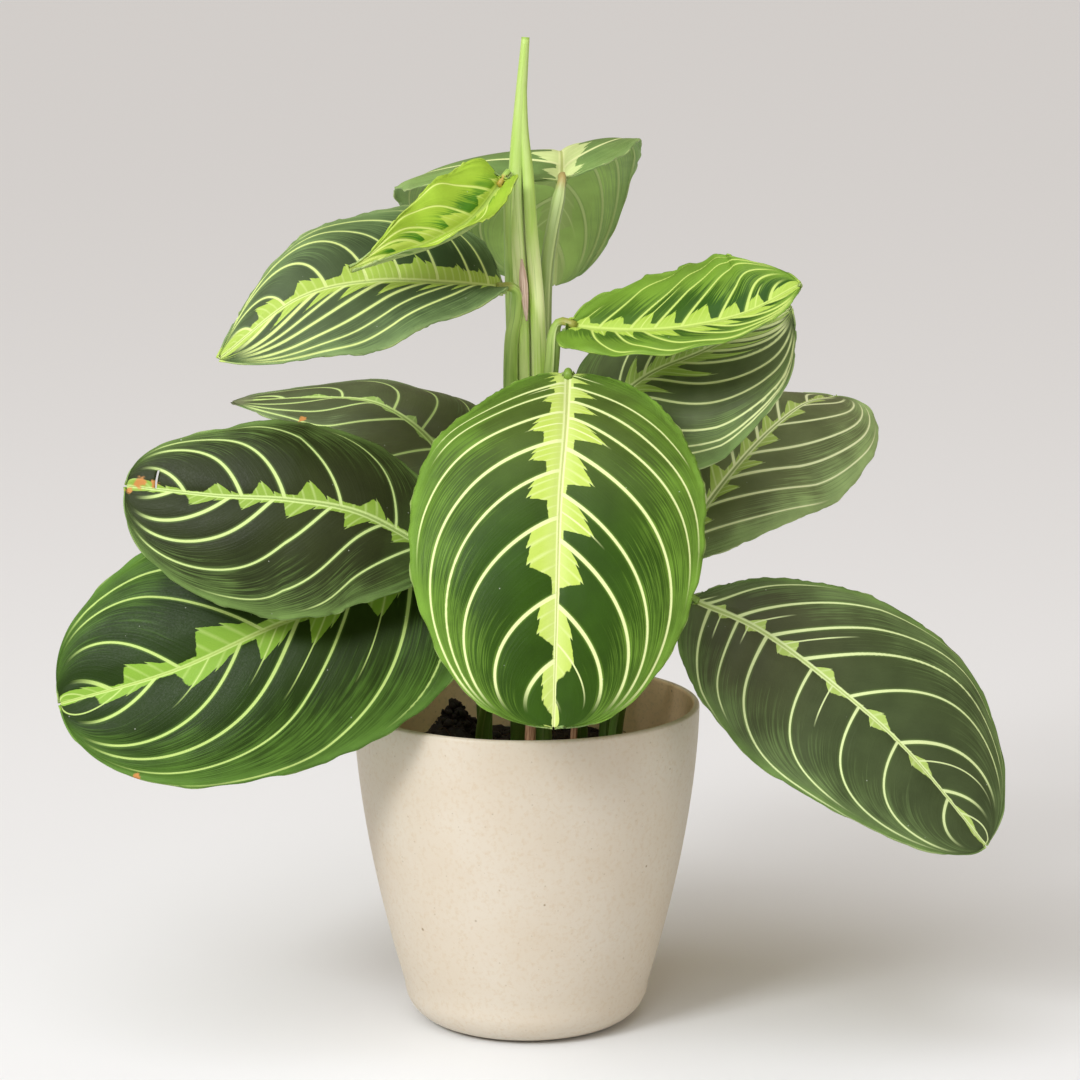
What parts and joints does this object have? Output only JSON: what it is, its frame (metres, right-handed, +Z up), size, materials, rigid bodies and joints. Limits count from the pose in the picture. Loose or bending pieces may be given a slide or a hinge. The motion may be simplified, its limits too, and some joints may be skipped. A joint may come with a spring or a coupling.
{
  "type": "potted prayer plant",
  "caption": "Potted prayer plant with broad green leaves, light veins and a jagged light midrib, in a round tapered cream planter.",
  "frame": {"origin": "middle of the planter's flat base", "axes": "+X to the right and +Y to the back as seen from the front, +Z up the planter's axis"},
  "size_m": [0.3191, 0.1925, 0.3401],
  "materials": {
    "planter": "matt moulded bamboo fibre with fine speckles",
    "soil": "crumbly peat",
    "leaf_mature": "satin leaf with light veins",
    "leaf_dark": "satin leaf with light veins",
    "leaf_young": "satin young leaf with light veins",
    "stalk": "smooth satin green stalk",
    "dried": "dry fibrous stalk"
  },
  "bodies": {
    "root": {"pot": "planter", "soil": "soil", "main_shoot": "stalk", "petiole_front": "stalk", "petiole_left_middle": "stalk", "petiole_left_low": "stalk", "petiole_left_back": "stalk", "petiole_right_upper": "stalk", "petiole_right_back": "stalk", "petiole_right_low": "stalk", "dried_stalk_front": "dried", "dried_stalk_right": "dried", "leaf_front": "leaf_mature", "leaf_left_middle": "leaf_dark", "leaf_left_low": "leaf_mature", "leaf_left_back": "leaf_dark", "leaf_upper_left": "leaf_dark", "leaf_young_folded": "leaf_young", "leaf_top_back": "leaf_mature", "leaf_young_right": "leaf_young", "leaf_right_upper": "leaf_dark", "leaf_right_back": "leaf_dark", "leaf_right_low": "leaf_dark"}
  },
  "joints": []
}
